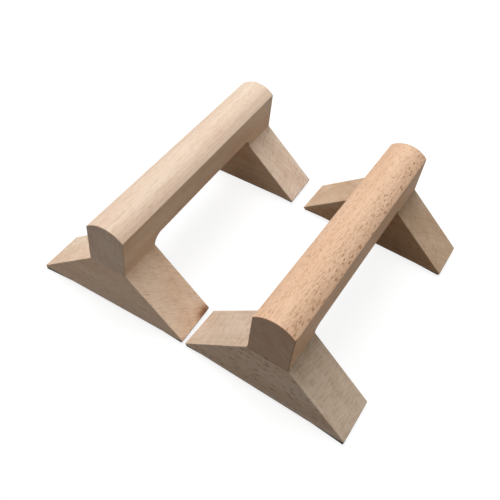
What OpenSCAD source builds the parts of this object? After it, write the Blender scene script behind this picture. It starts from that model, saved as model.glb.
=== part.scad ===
// A pair of wooden parallette bars for push-ups and handstands.
// Each bar is a D-shaped grip beam on two wedge feet with thin rubber pads.
// X runs across the pair, Y along the bars and Z up; the pads stand on Z = 0.
// The origin is under the middle of the pair as it stands at rest.

/* [Grip] */
// Length of a bar from end face to end face
bar_len = 300; // [240:5:380]
// Width of the grip and of the flat top of each foot
grip_w = 43; // [36:1:52]
// Height of the flat sides of the grip above its feet
grip_side_h = 45.5; // [38:0.5:56]
// Rise of the rounded top above the side edges
crown_h = 9.2; // [5:0.2:14]
// Depth cut from the underside of the left grip between its feet
left_relief = 11; // [5:0.5:16]
// Radius of the inner corners of the left cut
left_relief_r = 11; // [3:0.5:16]
// Depth cut from the underside of the right grip between its feet
right_relief = 7.5; // [5:0.5:16]
// Radius of the inner corners of the right cut
right_relief_r = 6; // [3:0.5:16]

/* [Feet] */
// Width of a foot across its base, from toe to toe
foot_w = 180; // [140:2:230]
// Height of the wood of a foot
foot_h = 58.5; // [48:0.5:72]
// Thickness of a foot along the bar
foot_t = 51; // [36:1:64]
// Height of the blunt edge at each toe
toe_h = 2; // [1:0.5:5]
// Radius of the upright corners at the toes
toe_r = 0.8; // [0.4:0.2:3]

/* [Pads] */
// Length of a pad along the base of a foot
pad_len = 55; // [24:1:58]
// Thickness of a pad
pad_t = 3.5; // [1:0.25:4]
// Distance of the middle of a pad's long sides from the sides of the foot
pad_inset = 1.7; // [0.4:0.1:4]
// Distance of a pad's outer end from the toe
pad_setback = 0.4; // [0.2:0.1:4]
// Angle of a pad's long sides to the foot, its outer end nearer the front
pad_skew = 3.1; // [0:0.1:3.2]

/* [Screws] */
// Length of a screw from its head face to its point
screw_len = 70; // [60:1:74]
// Depth that a screw reaches into the grip
screw_bite = 26; // [16:1:30]
// Distance of a screw's middle from the nearer side of the grip
screw_edge = 10.5; // [8:0.5:12]
// Diameter of the head
head_d = 9.6; // [8:0.2:11]
// Height of the upright rim of the head
head_rim_h = 0.4; // [0.2:0.1:0.8]
// Diameter over the thread
thread_d = 5; // [4:0.25:6]
// Diameter of the core under the thread
core_d = 3.2; // [2.4:0.1:3.6]
// Diameter of the plain shank
shank_d = 3.7; // [3:0.1:4]
// Share of the screw's length that is threaded
thread_share = 0.6; // [0.5:0.05:0.7]
// Distance from one thread ridge to the next
thread_pitch = 2.6; // [2:0.1:3.5]
// Length of the tapered point
point_len = 5; // [3:0.5:8]
// Reach of the cross recess across the head
recess_reach = 5; // [3:0.2:6]
// Width of each slot of the cross recess
recess_slot_w = 1.1; // [0.8:0.1:1.6]
// Depth of the cross recess
recess_depth = 2; // [1:0.1:2.4]

/* [Fits] */
// Clearance around the screw's thread and head in the wood
screw_clearance = 0.12; // [0.1:0.02:0.4]
// Diameter of the bore that sinks the screw head into a foot
sink_d = 11.5; // [11.3:0.1:13]

/* [Placement] */
// Gap between the nearest toes of the two bars
toe_gap = 3.5; // [2:0.5:30]
// Angle that the right bar is turned clockwise, seen from above
right_turn = 3; // [0:0.5:8]
// Distance that the right bar stands nearer the front than the left
right_forward = 5.7; // [0:0.1:20]

/* [Hidden] */
$fn = 64;

// Signs that say which bar, which end of it and which side of that end
LEFT = -1;
RIGHT = 1;
FRONT = -1;
REAR = 1;
INNER = -1;
OUTER = 1;

// Distance that a cut runs past the wood it opens
over = 1;
// Heights of the wood above the floor
foot_z = pad_t;
grip_z = foot_z + foot_h;
// Distance of a foot's middle from the middle of its bar
foot_y = (bar_len - foot_t) / 2;
// Distance of a pad's middle from the middle of its foot
pad_x = foot_w / 2 - pad_setback - pad_len / 2;
// Distance of a screw's middle from the middle of its foot
screw_x = grip_w / 2 - screw_edge;
// Height of a screw's head face above the floor
screw_z = grip_z + screw_bite - screw_len;
// Radius of the rounded top, from its width and rise
crown_r = (pow(grip_w / 2, 2) + pow(crown_h, 2)) / (2 * crown_h);

// Place of the right bar's middle, seen from the left bar's middle
right_x = foot_w / 2 + toe_gap + foot_w / 2 * cos(right_turn) + bar_len / 2 * sin(right_turn);
right_y = -right_forward;
// Middle of the box around both bars, found from the toe corners
corner_x = foot_w / 2 - toe_r;
corner_y = bar_len / 2 - toe_r;
right_reach_x = corner_x * cos(right_turn) + corner_y * sin(right_turn) + toe_r;
right_reach_y = corner_x * sin(right_turn) + corner_y * cos(right_turn) + toe_r;
middle_x = (right_x + right_reach_x - foot_w / 2) / 2;
middle_y = (max(bar_len / 2, right_y + right_reach_y) + min(-bar_len / 2, right_y - right_reach_y)) / 2;

function relief(bar) = bar == LEFT ? left_relief : right_relief;
function relief_r(bar) = min(bar == LEFT ? left_relief_r : right_relief_r, relief(bar));

// Half outline of a screw from its head face up to its point, widened by grow
function ridge(z, grow) = [
    [core_d / 2 + grow, z],
    [thread_d / 2 + grow, z + thread_pitch * 0.3],
    [core_d / 2 + grow, z + thread_pitch * 0.6]
];
thread_len = screw_len * thread_share - point_len;
ridges = floor(thread_len / thread_pitch);
thread_z = screw_len - point_len - ridges * thread_pitch;
head_z = head_rim_h + (head_d - shank_d) / 2;
function screw_outline(grow) = concat(
    [[0, 0], [head_d / 2 + grow, 0], [head_d / 2 + grow, head_rim_h]],
    [[shank_d / 2 + grow, head_z], [shank_d / 2 + grow, thread_z - thread_pitch / 2]],
    [for (i = [0:ridges - 1]) each ridge(thread_z + i * thread_pitch, grow)],
    [[core_d / 2 + grow, screw_len - point_len], [grow, screw_len], [0, screw_len + grow]]
);

// Stands its children at the middle of one bar
module at_bar(bar) {
    translate([-middle_x, -middle_y, 0])
        if (bar == LEFT) children();
        else translate([right_x, right_y, 0]) rotate(-right_turn) children();
}

// Stands its children at the middle of one foot of a bar
module at_foot(bar, end) {
    at_bar(bar) translate([0, end * foot_y, 0]) children();
}

// Flat plate with rounded corners, centred on the origin and standing on it
module rounded_plate(width, depth, radius, height) {
    linear_extrude(height) union() {
        square([width, depth - 2 * radius], center = true);
        square([width - 2 * radius, depth], center = true);
        for (x = [-1, 1], y = [-1, 1])
            translate([x * (width / 2 - radius), y * (depth / 2 - radius)]) circle(radius);
    }
}

// The D-shaped section of a grip, standing on its flat underside
module grip_section() {
    translate([-grip_w / 2, 0]) square([grip_w, grip_side_h]);
    intersection() {
        translate([0, grip_side_h + crown_h - crown_r]) circle(crown_r, $fn = 180);
        translate([-grip_w / 2, grip_side_h - over]) square([grip_w, crown_h + 2 * over]);
    }
}

// The round-cornered slot under a grip, seen from the side
module relief_section(depth, radius) {
    half = bar_len / 2 - foot_t;
    translate([-half, -over]) square([2 * half, over + depth - radius]);
    translate([radius - half, -over]) square([2 * (half - radius), over + depth]);
    for (side = [-1, 1])
        translate([side * (half - radius), depth - radius]) circle(radius);
}

module screw_body() {
    rotate_extrude() polygon(screw_outline(0));
}

// One grip beam, cut back under the hand and drilled for the four screws
module grip(bar) {
    color("burlywood") at_bar(bar) difference() {
        translate([0, 0, grip_z]) rotate([90, 0, 0])
            linear_extrude(bar_len, center = true) grip_section();
        translate([0, 0, grip_z]) rotate([90, 0, 90])
            linear_extrude(grip_w + 2 * over, center = true) relief_section(relief(bar), relief_r(bar));
        for (end = [FRONT, REAR], side = [INNER, OUTER])
            translate([side * screw_x, end * foot_y, screw_z])
                rotate_extrude() polygon(screw_outline(screw_clearance));
    }
}

// One wedge foot with a sunk hole for each of its two screws
module foot(bar, end) {
    color("tan") at_foot(bar, end) difference() {
        intersection() {
            translate([0, 0, foot_z]) rounded_plate(foot_w, foot_t, toe_r, foot_h + over);
            translate([0, 0, foot_z]) rotate([90, 0, 0]) linear_extrude(foot_t, center = true) polygon([
                [-foot_w / 2, 0], [foot_w / 2, 0], [foot_w / 2, toe_h],
                [grip_w / 2, foot_h], [-grip_w / 2, foot_h], [-foot_w / 2, toe_h]
            ]);
        }
        for (side = [INNER, OUTER])
            translate([side * screw_x, 0, 0]) screw_hole();
    }
}

// Bore for the head, seat for its cone and clearance hole for the thread
module screw_hole() {
    seat_r = head_d / 2 + screw_clearance;
    hole_r = thread_d / 2 + screw_clearance;
    seat_z = screw_z + head_rim_h;
    translate([0, 0, foot_z - over]) cylinder(h = seat_z - foot_z + over, d = sink_d);
    translate([0, 0, seat_z]) cylinder(h = seat_r - hole_r, r1 = seat_r, r2 = hole_r);
    translate([0, 0, screw_z]) cylinder(h = grip_z + over - screw_z, r = hole_r);
}

// One thin pad under a toe, laid askew and trimmed square to the foot at its ends
module pad(bar, end, side) {
    half_len = pad_len / 2;
    half_w = foot_t / 2 - pad_inset;
    slant = half_len * tan(-bar * side * pad_skew);
    color("dimgray") at_foot(bar, end) translate([bar * side * pad_x, 0, 0])
        linear_extrude(pad_t) polygon([
            [-half_len, -half_w - slant], [half_len, -half_w + slant],
            [half_len, half_w + slant], [-half_len, half_w - slant]
        ]);
}

// One countersunk wood screw, driven up through a foot into the grip
module screw(bar, end, side) {
    color("silver") at_foot(bar, end)
        translate([bar * side * screw_x, 0, screw_z]) difference() {
            screw_body();
            for (turn = [0, 90])
                rotate(turn) translate([-recess_reach / 2, -recess_slot_w / 2, -over])
                    cube([recess_reach, recess_slot_w, over + recess_depth]);
        }
}

grip(LEFT);  // left_grip
foot(LEFT, FRONT);  // left_front_foot
foot(LEFT, REAR);  // left_rear_foot
pad(LEFT, FRONT, OUTER);  // left_front_outer_pad
pad(LEFT, FRONT, INNER);  // left_front_inner_pad
pad(LEFT, REAR, OUTER);  // left_rear_outer_pad
pad(LEFT, REAR, INNER);  // left_rear_inner_pad
screw(LEFT, FRONT, OUTER);  // left_front_outer_screw
screw(LEFT, FRONT, INNER);  // left_front_inner_screw
screw(LEFT, REAR, OUTER);  // left_rear_outer_screw
screw(LEFT, REAR, INNER);  // left_rear_inner_screw
grip(RIGHT);  // right_grip
foot(RIGHT, FRONT);  // right_front_foot
foot(RIGHT, REAR);  // right_rear_foot
pad(RIGHT, FRONT, OUTER);  // right_front_outer_pad
pad(RIGHT, FRONT, INNER);  // right_front_inner_pad
pad(RIGHT, REAR, OUTER);  // right_rear_outer_pad
pad(RIGHT, REAR, INNER);  // right_rear_inner_pad
screw(RIGHT, FRONT, OUTER);  // right_front_outer_screw
screw(RIGHT, FRONT, INNER);  // right_front_inner_screw
screw(RIGHT, REAR, OUTER);  // right_rear_outer_screw
screw(RIGHT, REAR, INNER);  // right_rear_inner_screw
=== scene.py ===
from math import asin, atan2, copysign, cos, radians, sin, tan

import bmesh
import bpy
from mathutils import Matrix, Vector


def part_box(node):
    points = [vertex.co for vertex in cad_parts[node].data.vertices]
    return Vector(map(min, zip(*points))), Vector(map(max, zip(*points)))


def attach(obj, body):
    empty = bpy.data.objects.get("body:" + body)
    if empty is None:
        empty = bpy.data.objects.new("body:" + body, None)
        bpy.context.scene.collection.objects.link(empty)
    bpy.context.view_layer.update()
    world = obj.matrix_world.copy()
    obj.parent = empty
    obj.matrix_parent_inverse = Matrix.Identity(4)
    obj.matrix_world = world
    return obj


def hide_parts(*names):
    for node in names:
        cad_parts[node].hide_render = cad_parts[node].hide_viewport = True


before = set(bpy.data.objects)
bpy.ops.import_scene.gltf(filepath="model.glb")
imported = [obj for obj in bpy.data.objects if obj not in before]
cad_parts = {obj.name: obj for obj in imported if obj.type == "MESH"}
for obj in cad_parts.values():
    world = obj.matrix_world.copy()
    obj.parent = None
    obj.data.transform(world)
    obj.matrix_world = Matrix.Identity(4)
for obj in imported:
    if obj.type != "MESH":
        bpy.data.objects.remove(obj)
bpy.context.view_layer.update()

# Sizes of the bars, in metres, that the boxes of the frame don't give
CROWN_RISE = 0.0092
RELIEF = {"left": 0.011, "right": 0.0075}
RELIEF_RADIUS = {"left": 0.011, "right": 0.006}
TOE_HEIGHT = 0.002
PAD_LENGTH = 0.055
PAD_CORNER = 0.0008
PAD_INSET = 0.0017
PAD_SETBACK = 0.0004
PAD_SKEW = radians(3.1)
SCREW_EDGE = 0.0105
SINK_RADIUS = 0.00575
HEAD_RADIUS = 0.00492
THREAD_RADIUS = 0.00262
SCREW_BITE = 0.0261

# How much a pad is cut short at its toe and narrow along its front, where it isn't whole
PAD_TRIM = {
    "left_front_inner_pad": (0.0013, 0.0005),
    "left_rear_inner_pad": (0.0013, 0.0025),
    "right_front_inner_pad": (0, 0.0008),
    "right_rear_inner_pad": (0, 0.0023),
    "right_rear_outer_pad": (0.001, 0.002)}
WHOLE_PAD = (0, 0)

# How far the edges are eased, the share of that on a foot in a joint, and how far round the
# axis of a screw no edge is eased
EASING = 0.0007
PAD_EASING = 0.0003
JOINT_SHARE = {"left": 0.12, "right": 0.5}
BORE_REACH = 0.0075

# Fineness of the meshes: strips across the arch, steps of each round, cuts in a side of the
# square round a bore, and the angles and distance that tell edges and points apart
CROWN_STRIPS = 24
RELIEF_STEPS = 12
PAD_CORNER_STEPS = 4
EASING_STEPS = 3
BORE_CUTS = 5
SHARP = radians(30)
FLAT = radians(0.2)
SAME = 0.00001


def box_size(node):
    low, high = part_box(node)
    return Vector(high) - Vector(low)


def box_middle(node):
    low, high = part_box(node)
    return (Vector(high) + Vector(low)) / 2


GRIP_SIZE = box_size("left_grip")
FOOT_SIZE = box_size("left_front_foot")
PAD_THICKNESS = box_size("left_front_outer_pad").z
PAD_WIDTH = FOOT_SIZE.y - 2 * PAD_INSET
JOINT_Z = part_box("left_front_foot")[1][2]
FOOT_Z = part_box("left_front_foot")[0][2]
CREASE_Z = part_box("left_grip")[1][2] - CROWN_RISE
SEAT_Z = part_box("left_front_outer_screw")[0][2]
CROWN_RADIUS = ((GRIP_SIZE.x / 2) ** 2 + CROWN_RISE ** 2) / (2 * CROWN_RISE)
CROWN_REACH = asin(GRIP_SIZE.x / 2 / CROWN_RADIUS)
FOOT_Y = (GRIP_SIZE.y - FOOT_SIZE.y) / 2
PAD_X = (FOOT_SIZE.x - PAD_LENGTH) / 2 - PAD_SETBACK
SCREW_X = GRIP_SIZE.x / 2 - SCREW_EDGE
ENDS = {"front": -1, "rear": 1}
SCREW_AXES = [box_middle(name).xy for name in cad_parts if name.endswith("_screw")]


def bar_turn(side):
    along = box_middle(side + "_rear_foot") - box_middle(side + "_front_foot")
    return atan2(-along.x, along.y)


def bar_place(side):
    """The matrix that carries a bar from the origin to where it stands."""
    middle = (box_middle(side + "_rear_foot") + box_middle(side + "_front_foot")) / 2
    return Matrix.Translation((middle.x, middle.y, 0)) @ Matrix.Rotation(bar_turn(side), 4, "Z")


# Shapes

def outline_face(bm, corners):
    return bm.faces.new([bm.verts.new(corner) for corner in corners])


def pull(bm, face, step):
    """Extrudes one face of an outline into a solid along a step."""
    made = bmesh.ops.extrude_face_region(bm, geom=[face])["geom"]
    moved = [part for part in made if isinstance(part, bmesh.types.BMVert)]
    bmesh.ops.translate(bm, verts=moved, vec=step)
    bmesh.ops.recalc_face_normals(bm, faces=bm.faces)


def round_corners(bm, verts, radius, steps):
    bmesh.ops.bevel(bm, geom=verts, affect="VERTICES", offset=radius, offset_type="OFFSET",
                    segments=steps, profile=0.5, material=-1, clamp_overlap=False)
    bmesh.ops.remove_doubles(bm, verts=bm.verts, dist=SAME)


def level_faces(bm, height):
    """The flat faces that lie at one height."""
    return [face for face in bm.faces if all(abs(vert.co.z - height) < SAME for vert in face.verts)]


def cut_face(bm, height, point, normal):
    """Cuts only the flat faces at one height by an upright plane."""
    faces = level_faces(bm, height)
    edges = dict.fromkeys(edge for face in faces for edge in face.edges)
    verts = dict.fromkeys(vert for face in faces for vert in face.verts)
    bmesh.ops.bisect_plane(bm, geom=faces + list(edges) + list(verts), dist=SAME,
                           plane_co=point, plane_no=normal)


def nearest_face(bm, height, x, y):
    """The flat face at one height whose middle is nearest to a point."""
    point = Vector((x, y, height))
    return min(level_faces(bm, height), key=lambda face: (face.calc_center_median() - point).length)


def bore(bm, height, x, y, rings):
    """Sinks a round hole into the flat face at one height and gives the face at its end."""
    for shift in (-BORE_REACH, BORE_REACH):
        cut_face(bm, height, (x + shift, 0, 0), (1, 0, 0))
        cut_face(bm, height, (0, y + shift, 0), (0, 1, 0))
    patch = nearest_face(bm, height, x, y)
    bmesh.ops.subdivide_edges(bm, edges=patch.edges, cuts=BORE_CUTS)
    patch = nearest_face(bm, height, x, y)
    bmesh.ops.inset_individual(bm, faces=[patch], thickness=BORE_REACH / 4)
    for radius, depth in rings:
        if depth != height:
            grown = bmesh.ops.extrude_discrete_faces(bm, faces=[patch])["faces"]
            patch = grown[0]
        for vert in patch.verts:
            spoke = Vector((vert.co.x - x, vert.co.y - y)).normalized() * radius
            vert.co = (x + spoke.x, y + spoke.y, depth)
    return patch


def beside_screw(vert):
    return any((vert.co.xy - axis).length < BORE_REACH for axis in SCREW_AXES)


def ease_edges(piece, width, joint_height=None, joint_share=1.0):
    """Eases the sharp edges except in the bores, and those that lie in a joint by only a share."""
    mesh = piece.data
    bm = bmesh.new()
    bm.from_mesh(mesh)
    weight = bm.edges.layers.float.new("bevel_weight_edge")
    for edge in bm.edges:
        if edge.calc_face_angle(0) < SHARP:
            continue
        in_joint = joint_height is not None and all(
            abs(vert.co.z - joint_height) < SAME for vert in edge.verts)
        in_bore = all(beside_screw(vert) for vert in edge.verts)
        edge[weight] = 0 if in_bore else joint_share if in_joint else 1
        edge.smooth = edge[weight] > 0
    for face in bm.faces:
        face.smooth = True
    bm.to_mesh(mesh)
    bm.free()
    bevel = piece.modifiers.new("eased edges", "BEVEL")
    bevel.width = width
    bevel.segments = EASING_STEPS
    bevel.limit_method = "WEIGHT"
    bevel.harden_normals = True


def finish_piece(bm, name, side, node, material):
    """Stands a shape in its bar and makes it the look of its node."""
    bm.transform(bar_place(side))
    bmesh.ops.recalc_face_normals(bm, faces=bm.faces)
    mesh = bpy.data.meshes.new(name)
    bm.to_mesh(mesh)
    bm.free()
    piece = bpy.data.objects.new(name, mesh)
    bpy.context.scene.collection.objects.link(piece)
    mesh.materials.append(material)
    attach(piece, side + "_bar")
    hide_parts(node)
    return piece


def grip_beam(side):
    """A D-section beam, hollowed under the hand, with a blind hole for each screw."""
    half = GRIP_SIZE.y / 2
    inner = half - FOOT_SIZE.y
    edge_x = -GRIP_SIZE.x / 2
    roof = JOINT_Z + RELIEF[side]
    bm = bmesh.new()
    face = outline_face(bm, [
        (edge_x, -half, JOINT_Z), (edge_x, -half, CREASE_Z), (edge_x, half, CREASE_Z),
        (edge_x, half, JOINT_Z), (edge_x, inner, JOINT_Z), (edge_x, inner, roof),
        (edge_x, -inner, roof), (edge_x, -inner, JOINT_Z)])
    corners = [vert for vert in bm.verts if vert.co.z == face.verts[5].co.z]
    round_corners(bm, corners, RELIEF_RADIUS[side], RELIEF_STEPS)
    pull(bm, bm.faces[:][0], (GRIP_SIZE.x, 0, 0))
    for strip in range(1, CROWN_STRIPS):
        lean = CROWN_REACH * (2 * strip / CROWN_STRIPS - 1)
        bmesh.ops.bisect_plane(bm, geom=bm.verts[:] + bm.edges[:] + bm.faces[:], dist=SAME,
                               plane_co=(CROWN_RADIUS * sin(lean), 0, 0), plane_no=(1, 0, 0))
    for vert in bm.verts:
        if abs(vert.co.z - CREASE_Z) < SAME:
            lean = asin(min(1, abs(vert.co.x) / CROWN_RADIUS))
            vert.co.z += CROWN_RADIUS * (cos(lean) - cos(CROWN_REACH))
    bmesh.ops.dissolve_limit(bm, angle_limit=FLAT, verts=bm.verts, edges=bm.edges)
    for end in ENDS.values():
        for x in (-SCREW_X, SCREW_X):
            bore(bm, JOINT_Z, x, end * FOOT_Y, [
                (THREAD_RADIUS, JOINT_Z), (THREAD_RADIUS, JOINT_Z + SCREW_BITE - THREAD_RADIUS),
                (SAME, JOINT_Z + SCREW_BITE)])
    return bm


def wedge_foot(end):
    """A wedge foot with blunt toes and a sunk through hole for each screw."""
    y = ENDS[end] * FOOT_Y
    front = y - FOOT_SIZE.y / 2
    toe_z = FOOT_Z + TOE_HEIGHT
    half_base = FOOT_SIZE.x / 2
    half_top = GRIP_SIZE.x / 2
    cone = HEAD_RADIUS - THREAD_RADIUS
    bm = bmesh.new()
    face = outline_face(bm, [
        (-half_base, front, FOOT_Z), (half_base, front, FOOT_Z), (half_base, front, toe_z),
        (half_top, front, JOINT_Z), (-half_top, front, JOINT_Z), (-half_base, front, toe_z)])
    pull(bm, face, (0, FOOT_SIZE.y, 0))
    for x in (-SCREW_X, SCREW_X):
        below = bore(bm, FOOT_Z, x, y, [
            (SINK_RADIUS, FOOT_Z), (SINK_RADIUS, SEAT_Z), (HEAD_RADIUS, SEAT_Z + SAME),
            (THREAD_RADIUS, SEAT_Z + cone)])
        above = bore(bm, JOINT_Z, x, y, [
            (THREAD_RADIUS, JOINT_Z), (THREAD_RADIUS, SEAT_Z + 2 * cone)])
        rims = below.edges[:] + above.edges[:]
        bmesh.ops.delete(bm, geom=[below, above], context="FACES_ONLY")
        bmesh.ops.bridge_loops(bm, edges=rims)
    return bm


def toe_pad(end, x, toe_trim, front_trim):
    """A thin flat pad, laid a little askew, with its ends square to its foot."""
    y = ENDS[end] * FOOT_Y
    toe = copysign(PAD_LENGTH / 2 - toe_trim, x)
    heel = copysign(PAD_LENGTH / 2, -x)
    lean = copysign(tan(PAD_SKEW), -x)
    front = y - PAD_WIDTH / 2 + front_trim
    back = y + PAD_WIDTH / 2
    bm = bmesh.new()
    outline_face(bm, [
        (x + toe, front + toe * lean, 0), (x + heel, front + heel * lean, 0),
        (x + heel, back + heel * lean, 0), (x + toe, back + toe * lean, 0)])
    round_corners(bm, bm.verts[:], PAD_CORNER, PAD_CORNER_STEPS)
    pull(bm, bm.faces[:][0], (0, 0, PAD_THICKNESS))
    return bm


# Materials

# Tints that multiply the wood where a layer shows
RING_TINT = (0.80, 0.68, 0.60, 1)
RAY_TINT = (0.84, 0.74, 0.66, 1)
FIBRE_TINT = (0.84, 0.76, 0.69, 1)
FLECK_TINT = (0.56, 0.42, 0.32, 1)
BOLD_TINT = (0.40, 0.25, 0.17, 1)
RIM_TINT = (0.25, 0.17, 0.12, 1)
# Length, depth and thickness in the board of a spot of each layer
DRIFT_SPOT = (0.16, 0.02, 0.02)
RING_SPOT = (0.5, 0.0026, 0.05)
SHEET_SPOT = (0.007, 0.012, 0.0011)
STREAK_SPOT = (0.07, 0.0034, 0.0034)
FIBRE_SPOT = (0.016, 0.0007, 0.0007)
SAW_SPOT = (0.03, 0.03, 0.0009)
MARK_SPOT = (0.005, 0.005, 0.005)
# How each layer's seed differs from its board's
LAYER_SEED = {"rays": 1.0, "streaks": 2.0, "fibres": 3.0, "rings": 4.0, "bold": 5.0, "faint": 7.0}
SEED_STEP = (1.0, 1.7, 2.3)
# Detail of a noise, from blurred to finest, and the roughness of a crisp one
BLURRED = 0.0
EVEN = 2.0
DETAILED = 3.0
FINEST = 4.0
CRISP = 0.6
# The stretch of a noise over which a layer comes in: most of the noise, or its peaks
MOST = (0.3, 0.7)
PEAKS = (0.4, 0.7)
RING_PEAKS = (0.42, 0.72)
SHEET_PEAKS = (0.45, 0.72)
# Squared share of a surface that faces a line: the end grain, and a square-cut end
END_GRAIN = (0.55, 0.95)
SQUARE_END = (0.9, 0.99)
# Bend of the growth rings per metre, and how much more they show on end grain
RING_BEND = 5.5
END_RINGS = 0.15
# Softness of a fleck's edge, size of the areas where flecks are faint, and how faint they get
FLECK_EDGE = 0.09
FAINT_AREA = 3
FAINT_PEAKS = (0.3, 0.6)
FAINTEST = 0.35
# Dark heart of a bold dash as a share of its reach, and the spread of the dashes' strengths
DASH_HEART = 0.5
DASH_SPREAD = (0.1, 0.9)
# Width of the dark line round a sawn end and depth of its saw lines, and the raggedness and
# the soft edge of a mark as shares of its size
RIM_REACH = 0.0012
SAW_DEPTH = 0.3
MARK_RAG = 0.6
MARK_EDGE = (0.4, 1.5)
# Sheen and surface of each finish
WOOD_ROUGHNESS = (0.56, 0.68)
WOOD_SPECULAR = 0.25
FIBRE_RELIEF = 0.5
GRAIN_BUMP = 0.3
GRAIN_DEPTH = 0.0001
PEBBLES_PER_METRE = 1400.0
PEBBLE_BUMP = 0.4
PEBBLE_DEPTH = 0.0002
DUST_SPOT = (0.011, 0.011, 0.011)
DUST_AMOUNT = 0.6
RUBBER_ROUGHNESS = (0.72, 0.88)
TURNING_SPOT = (0.0033, 0.0033, 0.00025)
STEEL_ROUGHNESS = (0.25, 0.42)


def srgb(red, green, blue):
    """A colour written as the screen shows it, 0 to 255, made linear."""
    levels = [level / 255 for level in (red, green, blue)]
    return tuple(level / 12.92 if level <= 0.04045 else ((level + 0.055) / 1.055) ** 2.4
                 for level in levels) + (1,)


RUBBER_CLEAN = srgb(38, 37, 36)
RUBBER_DUSTY = srgb(62, 60, 57)
STEEL_DARK = srgb(176, 178, 180)
STEEL_PALE = srgb(205, 206, 204)


def add_node(tree, kind, inputs=None, **settings):
    made = tree.nodes.new(kind)
    for name, value in settings.items():
        setattr(made, name, value)
    for socket, value in (inputs or {}).items():
        plug(tree, made.inputs[socket], value)
    return made


def plug(tree, socket, value):
    if isinstance(value, bpy.types.NodeSocket):
        tree.links.new(value, socket)
    else:
        socket.default_value = value


def new_material(name):
    material = bpy.data.materials.new(name)
    material.use_nodes = True
    material.node_tree.nodes.clear()
    return material, material.node_tree


def mapped(tree, value, low, high, to_low=0.0, to_high=1.0):
    """A value carried smoothly from one range to another."""
    made = add_node(tree, "ShaderNodeMapRange", {
        "Value": value, "From Min": low, "From Max": high, "To Min": to_low, "To Max": to_high},
        interpolation_type="SMOOTHSTEP")
    return made.outputs["Result"]


def blend(tree, factor, first, second, mode="MIX"):
    made = add_node(tree, "ShaderNodeMix", data_type="RGBA", blend_type=mode)
    for name, value in (("Factor", factor), ("A", first), ("B", second)):
        plug(tree, next(s for s in made.inputs if s.name == name and s.enabled), value)
    return next(s for s in made.outputs if s.enabled)


def combine(tree, operation, first, second):
    made = add_node(tree, "ShaderNodeMath", operation=operation)
    plug(tree, made.inputs[0], first)
    plug(tree, made.inputs[1], second)
    return made.outputs["Value"]


def local_place(tree, vector, middle, turn, size=(1, 1, 1)):
    """Coordinates from a middle point, turned and measured in units of a size."""
    made = add_node(tree, "ShaderNodeMapping", {
        "Vector": vector, "Location": middle, "Rotation": turn, "Scale": size}, vector_type="TEXTURE")
    return made.outputs["Vector"]


def spot_place(tree, board, spot, seed):
    """Coordinates in a board measured in units of a spot, shifted by a seed."""
    made = add_node(tree, "ShaderNodeMapping", {
        "Vector": board, "Location": [seed * step for step in SEED_STEP],
        "Scale": [1 / size for size in spot]})
    return made.outputs["Vector"]


def grain_noise(tree, board, spot, seed, detail=EVEN, roughness=0.5):
    """Soft noise whose spots are as long, deep and thick in the board as spot says."""
    made = add_node(tree, "ShaderNodeTexNoise", {
        "Vector": spot_place(tree, board, spot, seed), "Scale": 1.0, "Detail": detail,
        "Roughness": roughness})
    return made.outputs["Fac"]


def flecks(tree, board, spot, seed, sparse):
    """Scattered thin flecks of that size, fewer where sparse is higher, some of them fainter."""
    spread = grain_noise(tree, board, spot, seed, BLURRED)
    shape = mapped(tree, spread, sparse, sparse + FLECK_EDGE)
    area = [FAINT_AREA * size for size in spot]
    faint = grain_noise(tree, board, area, seed + LAYER_SEED["faint"], BLURRED)
    return combine(tree, "MULTIPLY", shape, mapped(tree, faint, *FAINT_PEAKS, FAINTEST, 1.0))


def dashes(tree, board, room, seed, reach):
    """Separate dark dashes of uneven strength: one in each room of that size, up to reach long
    as a share of the room."""
    cell = add_node(tree, "ShaderNodeTexVoronoi", {
        "Vector": spot_place(tree, board, room, seed), "Scale": 1.0})
    shape = mapped(tree, cell.outputs["Distance"], reach * DASH_HEART, reach, 1.0, 0.0)
    odd = add_node(tree, "ShaderNodeSeparateColor", {"Color": cell.outputs["Color"]}).outputs["Red"]
    return combine(tree, "MULTIPLY", shape, mapped(tree, odd, *DASH_SPREAD))


def stain(tree, wood, amount, tint):
    return blend(tree, amount, wood, tint, "MULTIPLY")


def year_rings(tree, board, wood, look, seed, end_share):
    """Growth rings: bent layers across the rays, which show most on the end grain."""
    parts = add_node(tree, "ShaderNodeSeparateXYZ", {"Vector": board})
    across = parts.outputs["Z"]
    bend = combine(tree, "MULTIPLY", combine(tree, "MULTIPLY", across, across), RING_BEND)
    layer = add_node(tree, "ShaderNodeCombineXYZ", {
        "X": parts.outputs["X"], "Y": combine(tree, "ADD", parts.outputs["Y"], bend), "Z": across})
    rings = grain_noise(tree, layer.outputs["Vector"], RING_SPOT, seed, DETAILED, CRISP)
    amount = combine(tree, "ADD", look["rings"], combine(tree, "MULTIPLY", end_share, END_RINGS))
    amount = combine(tree, "MULTIPLY", mapped(tree, rings, *RING_PEAKS), amount)
    return stain(tree, wood, amount, RING_TINT)


def facing_share(tree, normal, line, low, high):
    """How far a surface looks along a line, either way: none below low and all above high."""
    facing = add_node(tree, "ShaderNodeVectorMath", {0: normal, 1: line}, operation="DOT_PRODUCT")
    facing = facing.outputs["Value"]
    return mapped(tree, combine(tree, "MULTIPLY", facing, facing), low, high)


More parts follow.
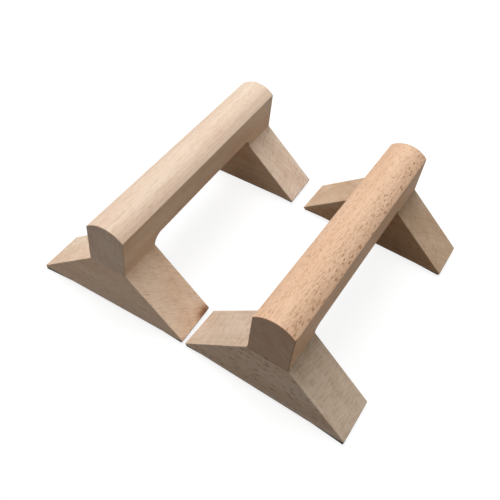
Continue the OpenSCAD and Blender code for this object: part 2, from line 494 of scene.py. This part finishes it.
def sawn_end(tree, piece, board, normal, line, wood, strength):
    """Faint saw lines across the end of a grip, and the dark line round it."""
    flat_end = facing_share(tree, normal, line, *SQUARE_END)
    saw = grain_noise(tree, piece, SAW_SPOT, 0.0, DETAILED)
    saw = mapped(tree, saw, *PEAKS, 0.0, SAW_DEPTH)
    wood = stain(tree, wood, combine(tree, "MULTIPLY", saw, flat_end), RING_TINT)
    along = add_node(tree, "ShaderNodeSeparateXYZ", {"Vector": board}).outputs["X"]
    half = GRIP_SIZE.y / 2
    near = mapped(tree, combine(tree, "ABSOLUTE", along, 0.0), half - RIM_REACH, half, 0.0, strength)
    rim = combine(tree, "MULTIPLY", near, combine(tree, "SUBTRACT", 1.0, flat_end))
    return stain(tree, wood, rim, RIM_TINT)


def beech(node, side, grain, look):
    """Sanded beech, with layers that go through the whole board."""
    seed = look["seed"]
    lean = radians(look["ray_lean"])
    heading = bar_turn(side) + grain
    material, tree = new_material(node + "_wood")
    coordinates = add_node(tree, "ShaderNodeTexCoord")
    normal = coordinates.outputs["Normal"]
    piece = local_place(tree, coordinates.outputs["Object"], box_middle(node), (0, 0, bar_turn(side)))
    board = local_place(tree, piece, (0, 0, 0), (lean, 0, grain))
    # The paler and the redder wood, drifting through the board
    drift = grain_noise(tree, board, DRIFT_SPOT, seed, DETAILED)
    wood = blend(tree, mapped(tree, drift, *MOST), look["pale"], look["deep"])
    grain_line = Vector((cos(heading), sin(heading), 0))
    end_share = facing_share(tree, normal, grain_line, *END_GRAIN)
    wood = year_rings(tree, board, wood, look, seed + LAYER_SEED["rings"], end_share)
    # Sheets of ray tissue, and the fibres in two sizes
    sheets = grain_noise(tree, board, SHEET_SPOT, seed + LAYER_SEED["rays"], EVEN, CRISP)
    wood = stain(tree, wood, mapped(tree, sheets, *SHEET_PEAKS, 0.0, look["rays"]), RAY_TINT)
    coarse = grain_noise(tree, board, STREAK_SPOT, seed + LAYER_SEED["streaks"], DETAILED, CRISP)
    wood = stain(tree, wood, mapped(tree, coarse, *PEAKS, 0.0, look["streaks"]), FIBRE_TINT)
    fine = grain_noise(tree, board, FIBRE_SPOT, seed + LAYER_SEED["fibres"], EVEN, CRISP)
    wood = stain(tree, wood, mapped(tree, fine, *PEAKS, 0.0, look["fibres"]), FIBRE_TINT)
    # Short flecks beside the end grain, and bolder ones where the rays meet the surface head-on
    fleck = flecks(tree, board, look["fleck_spot"], seed, look["fleck_sparse"])
    fleck = combine(tree, "MULTIPLY", fleck, combine(tree, "SUBTRACT", 1.0, end_share))
    wood = stain(tree, wood, combine(tree, "MULTIPLY", fleck, look["flecks"]), FLECK_TINT)
    ray_line = Vector((-sin(heading) * cos(lean), cos(heading) * cos(lean), sin(lean)))
    for room, reach, low, high, strength in look["bold"]:
        bold = dashes(tree, board, room, seed + LAYER_SEED["bold"], reach)
        share = facing_share(tree, normal, ray_line, low, high)
        bold = combine(tree, "MULTIPLY", bold, combine(tree, "MULTIPLY", share, strength))
        wood = stain(tree, wood, bold, BOLD_TINT)
    # End grain drinks more of the finish
    wood = stain(tree, wood, end_share, look["end_tint"])
    if look["rim"] > 0:
        wood = sawn_end(tree, piece, board, normal, grain_line, wood, look["rim"])
    # Listed marks: a burn and a dark joint line, plus a paler patch of painted light and the painted
    # shade of a chip
    for spot, size, tint in look["marks"]:
        near = local_place(tree, piece, spot, (0, 0, 0), size)
        ragged = combine(tree, "MULTIPLY", grain_noise(tree, piece, MARK_SPOT, seed), MARK_RAG)
        far = add_node(tree, "ShaderNodeVectorMath", {0: near}, operation="LENGTH").outputs["Value"]
        edge = combine(tree, "ADD", far, ragged)
        wood = stain(tree, wood, mapped(tree, edge, *MARK_EDGE, 1.0, 0.0), tint)
    rough = mapped(tree, coarse, *MOST, *WOOD_ROUGHNESS)
    relief = combine(tree, "SUBTRACT", combine(tree, "MULTIPLY", fine, FIBRE_RELIEF), fleck)
    bump = add_node(tree, "ShaderNodeBump", {
        "Height": relief, "Strength": GRAIN_BUMP, "Distance": GRAIN_DEPTH})
    shader = add_node(tree, "ShaderNodeBsdfPrincipled", {
        "Base Color": wood, "Roughness": rough, "Normal": bump.outputs["Normal"],
        "Specular IOR Level": WOOD_SPECULAR})
    add_node(tree, "ShaderNodeOutputMaterial", {"Surface": shader.outputs["BSDF"]})
    return material


def pad_rubber():
    """Black foam rubber with a fine pebbled skin."""
    material, tree = new_material("pad_rubber")
    place = add_node(tree, "ShaderNodeTexCoord").outputs["Object"]
    pebbles = add_node(tree, "ShaderNodeTexVoronoi", {"Vector": place, "Scale": PEBBLES_PER_METRE})
    dust = grain_noise(tree, place, DUST_SPOT, 0.0, FINEST)
    tone = blend(tree, mapped(tree, dust, *PEAKS, 0.0, DUST_AMOUNT), RUBBER_CLEAN, RUBBER_DUSTY)
    rough = mapped(tree, dust, *MOST, *RUBBER_ROUGHNESS)
    bump = add_node(tree, "ShaderNodeBump", {
        "Height": pebbles.outputs["Distance"], "Strength": PEBBLE_BUMP, "Distance": PEBBLE_DEPTH})
    shader = add_node(tree, "ShaderNodeBsdfPrincipled", {
        "Base Color": tone, "Roughness": rough, "Normal": bump.outputs["Normal"]})
    add_node(tree, "ShaderNodeOutputMaterial", {"Surface": shader.outputs["BSDF"]})
    return material


def screw_steel():
    """Zinc-plated steel with faint turning marks."""
    material, tree = new_material("screw_steel")
    place = add_node(tree, "ShaderNodeTexCoord").outputs["Object"]
    marks = grain_noise(tree, place, TURNING_SPOT, 0.0)
    tone = blend(tree, marks, STEEL_DARK, STEEL_PALE)
    rough = mapped(tree, marks, *MOST, *STEEL_ROUGHNESS)
    shader = add_node(tree, "ShaderNodeBsdfPrincipled", {
        "Base Color": tone, "Roughness": rough, "Metallic": 1.0})
    add_node(tree, "ShaderNodeOutputMaterial", {"Surface": shader.outputs["BSDF"]})
    return material


# Places on a foot, from its middle
TOE_X = FOOT_SIZE.x / 2
FOOT_BOTTOM = -FOOT_SIZE.z / 2
FOOT_TOP = FOOT_SIZE.z / 2
FOOT_FRONT = -FOOT_SIZE.y / 2

# How each board looks. ray_lean is the tilt of its rays about its grain, in degrees. A row of
# bold dashes holds the room of one, its reach, the two ends of the facing over which it comes
# in and its strength. A row of marks holds its middle, its size and its tint; some marks are stains
# and some are painted light and painted shade.
PLAIN_END = (1, 1, 1, 1)
GRIP_LOOK = {
    "left": {
        "pale": srgb(247, 227, 206), "deep": srgb(240, 212, 190), "seed": 0.4, "ray_lean": -5,
        "rings": 0.35, "rays": 0.08, "streaks": 0.22, "fibres": 0.5,
        "fleck_spot": (0.007, 0.0011, 0.0011), "fleck_sparse": 0.58, "flecks": 0.2, "bold": [],
        "end_tint": (0.87, 0.89, 0.92, 1), "rim": 0.4, "marks": []},
    "right": {
        "pale": srgb(245, 209, 179), "deep": srgb(238, 199, 167), "seed": 3.1, "ray_lean": -40,
        "rings": 0.25, "rays": 0.2, "streaks": 0.2, "fibres": 0.35,
        "fleck_spot": (0.0055, 0.0009, 0.0009), "fleck_sparse": 0.56, "flecks": 0.46,
        "bold": [((0.0085, 0.02, 0.0022), 0.42, 0.5, 0.98, 0.85),
                 ((0.0055, 0.012, 0.0015), 0.42, 0.3, 0.95, 0.5)],
        "end_tint": (0.61, 0.64, 0.68, 1), "rim": 0.9, "marks": []}}
ANY_FOOT = {
    "rings": 0.3, "rays": 0.6, "streaks": 0.15, "fibres": 0.35,
    "fleck_spot": (0.006, 0.009, 0.0011), "fleck_sparse": 0.62, "flecks": 0.3, "bold": [],
    "end_tint": PLAIN_END, "rim": 0.0, "marks": []}
# The burn on the inner toe in two tones, and painted light: a paler patch over the left slope towards
# the outer toe
LEFT_FRONT_BURN_AND_PAINTED_LIGHT = [
    ((TOE_X, 0.018, FOOT_BOTTOM + 0.002), (0.0125, 0.019, 0.013), (0.68, 0.53, 0.43, 1)),
    ((TOE_X, 0.0185, FOOT_BOTTOM + 0.002), (0.007, 0.013, 0.008), (0.50, 0.42, 0.37, 1)),
    ((-0.055, 0.02, 0), (0.06, 0.03, 0.05), (1.06, 1.16, 1.2, 1))]
# Painted shade of a chip at the top of the front, standing in for its uncut notch, and the dark line
# along the joint
RIGHT_FRONT_JOINT_AND_PAINTED_SHADE = [
    ((-0.0017, FOOT_FRONT, FOOT_TOP - 0.0005), (0.0025, 0.003, 0.0018), (0.55, 0.5, 0.45, 1)),
    ((0, FOOT_FRONT, FOOT_TOP), (0.06, 0.004, 0.0016), (0.45, 0.38, 0.33, 1))]
FOOT_LOOK = {
    "left_front_foot": {
        **ANY_FOOT, "pale": srgb(244, 219, 195), "deep": srgb(234, 204, 177), "seed": 1.3,
        "ray_lean": -31, "marks": LEFT_FRONT_BURN_AND_PAINTED_LIGHT},
    "left_rear_foot": {
        **ANY_FOOT, "pale": srgb(252, 234, 216), "deep": srgb(243, 219, 198), "seed": 2.2,
        "ray_lean": 23},
    "right_front_foot": {
        **ANY_FOOT, "pale": srgb(226, 207, 188), "deep": srgb(216, 194, 172), "seed": 4.7,
        "ray_lean": -3, "rays": 0.7, "fleck_spot": (0.006, 0.009, 0.0010),
        "bold": [((0.0095, 0.012, 0.0028), 0.42, 0.7, 0.95, 0.7)], "marks": RIGHT_FRONT_JOINT_AND_PAINTED_SHADE},
    "right_rear_foot": {
        **ANY_FOOT, "pale": srgb(218, 192, 166), "deep": srgb(207, 177, 149), "seed": 5.9,
        "ray_lean": 57, "rings": 0.4, "rays": 0.5}}

# The pair

rubber = pad_rubber()
steel = screw_steel()
for side, outward in (("left", -1), ("right", 1)):
    wood = beech(side + "_grip", side, radians(90), GRIP_LOOK[side])
    grip = finish_piece(grip_beam(side), side + "_grip_beam", side, side + "_grip",
                        wood)
    ease_edges(grip, EASING, JOINT_Z, 0.0)
    for end in ENDS:
        node = side + "_" + end + "_foot"
        wood = beech(node, side, 0.0, FOOT_LOOK[node])
        foot = finish_piece(wedge_foot(end), node + "_wedge", side, node, wood)
        ease_edges(foot, EASING, JOINT_Z, JOINT_SHARE[side])
        for place, sign in (("outer", outward), ("inner", -outward)):
            node = side + "_" + end + "_" + place + "_pad"
            shape = toe_pad(end, sign * PAD_X, *PAD_TRIM.get(node, WHOLE_PAD))
            pad = finish_piece(shape, node + "_sheet", side, node, rubber)
            ease_edges(pad, PAD_EASING)

for name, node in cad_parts.items():
    if name.endswith("_screw"):
        node.data.materials.clear()
        node.data.materials.append(steel)

# Floor, light and camera

FLOOR_SIZE = 12.0
FLOOR_DROP = 0.0002
FLOOR_GLOW = 0.85
FLOOR_SEEN = 0.24
FLOOR_FADE = (0.5, 2.5)
FLOOR_BOUNCE = (0.205, 0.14, 0.078, 1)
SKY_LEVEL = 0.02
WHITE = (1, 1, 1, 1)
KEY_PLACE = Vector((-0.76, 0.4, 2.8))
KEY_SIZE = 2.5
KEY_POWER = 89.0
KEY_TINT = (1, 1, 1)
SIDE_FILL_PLACE = Vector((1.8, -0.1, 1.4))
SIDE_FILL_SIZE = 1.2
SIDE_FILL_POWER = 5.8
SIDE_FILL_TINT = (0.95, 0.99, 0.89)
FRONT_FILL_PLACE = Vector((-0.1, -2.5, 0.07))
FRONT_FILL_SIZE = 0.15
FRONT_FILL_POWER = 6.2
FRONT_FILL_TINT = (0.88, 1, 1.12)
CAMERA_PLACE = (0.17694, -0.43964, 0.5358)
CAMERA_HEADING = 26.27
CAMERA_DIP = 46.74
CAMERA_ROLL = 5.98
CAMERA_SENSOR = 36
CAMERA_LENS = 44.38
CAMERA_SHIFT = (0.04, -0.028)


def seen_directly(tree):
    """One for rays from the camera, in gloss or through glass, and none for scattered light."""
    rays = add_node(tree, "ShaderNodeLightPath")
    direct = combine(tree, "MAXIMUM", rays.outputs["Is Camera Ray"], rays.outputs["Is Glossy Ray"])
    return combine(tree, "MAXIMUM", direct, rays.outputs["Is Transmission Ray"])


def floor_material():
    """White with a soft shadow where it is seen, and a warm grey for the light that it throws back."""
    material, tree = new_material("studio_floor")
    direct = seen_directly(tree)
    tone = blend(tree, direct, FLOOR_BOUNCE, (FLOOR_SEEN,) * 3 + (1,))
    paint = add_node(tree, "ShaderNodeBsdfDiffuse", {"Color": tone})
    place = add_node(tree, "ShaderNodeTexCoord").outputs["Object"]
    far = add_node(tree, "ShaderNodeVectorMath", {0: place}, operation="LENGTH").outputs["Value"]
    level = mapped(tree, far, *FLOOR_FADE, FLOOR_GLOW, 1.0)
    glow = add_node(tree, "ShaderNodeEmission", {
        "Color": WHITE, "Strength": combine(tree, "MULTIPLY", direct, level)})
    both = add_node(tree, "ShaderNodeAddShader", {
        0: paint.outputs["BSDF"], 1: glow.outputs["Emission"]})
    add_node(tree, "ShaderNodeOutputMaterial", {"Surface": both.outputs["Shader"]})
    return material


def studio_floor():
    bm = bmesh.new()
    bmesh.ops.create_grid(bm, x_segments=1, y_segments=1, size=FLOOR_SIZE / 2)
    bmesh.ops.translate(bm, verts=bm.verts, vec=(0, 0, -FLOOR_DROP))
    mesh = bpy.data.meshes.new("studio_floor")
    bm.to_mesh(mesh)
    bm.free()
    floor = bpy.data.objects.new("studio_floor", mesh)
    bpy.context.scene.collection.objects.link(floor)
    mesh.materials.append(floor_material())


def studio_world():
    world = bpy.data.worlds.new("studio_world")
    world.use_nodes = True
    tree = world.node_tree
    tree.nodes.clear()
    level = mapped(tree, seen_directly(tree), 0.0, 1.0, SKY_LEVEL, 1.0)
    sky = add_node(tree, "ShaderNodeBackground", {"Color": WHITE, "Strength": level})
    add_node(tree, "ShaderNodeOutputWorld", {"Surface": sky.outputs["Background"]})
    bpy.context.scene.world = world


def area_lamp(name, place, size, power, colour):
    lamp = bpy.data.lights.new(name, "AREA")
    lamp.shape = "DISK"
    lamp.size = size
    lamp.energy = power
    lamp.color = colour
    holder = bpy.data.objects.new(name, lamp)
    holder.location = place
    holder.rotation_euler = (-place).to_track_quat("-Z", "Y").to_euler()
    bpy.context.scene.collection.objects.link(holder)


def photo_camera():
    camera = bpy.data.cameras.new("photo_camera")
    camera.sensor_width = CAMERA_SENSOR
    camera.lens = CAMERA_LENS
    camera.shift_x, camera.shift_y = CAMERA_SHIFT
    holder = bpy.data.objects.new("photo_camera", camera)
    heading = Matrix.Rotation(radians(CAMERA_HEADING), 4, "Z")
    dip = Matrix.Rotation(radians(90 - CAMERA_DIP), 4, "X")
    roll = Matrix.Rotation(radians(CAMERA_ROLL), 4, "Z")
    holder.matrix_world = Matrix.Translation(CAMERA_PLACE) @ heading @ dip @ roll
    bpy.context.scene.collection.objects.link(holder)
    bpy.context.scene.camera = holder


studio_floor()
studio_world()
area_lamp("key_lamp", KEY_PLACE, KEY_SIZE, KEY_POWER, KEY_TINT)
area_lamp("side_fill_lamp", SIDE_FILL_PLACE, SIDE_FILL_SIZE, SIDE_FILL_POWER, SIDE_FILL_TINT)
area_lamp("front_fill_lamp", FRONT_FILL_PLACE, FRONT_FILL_SIZE, FRONT_FILL_POWER, FRONT_FILL_TINT)
photo_camera()
bpy.context.scene.view_settings.view_transform = "Standard"
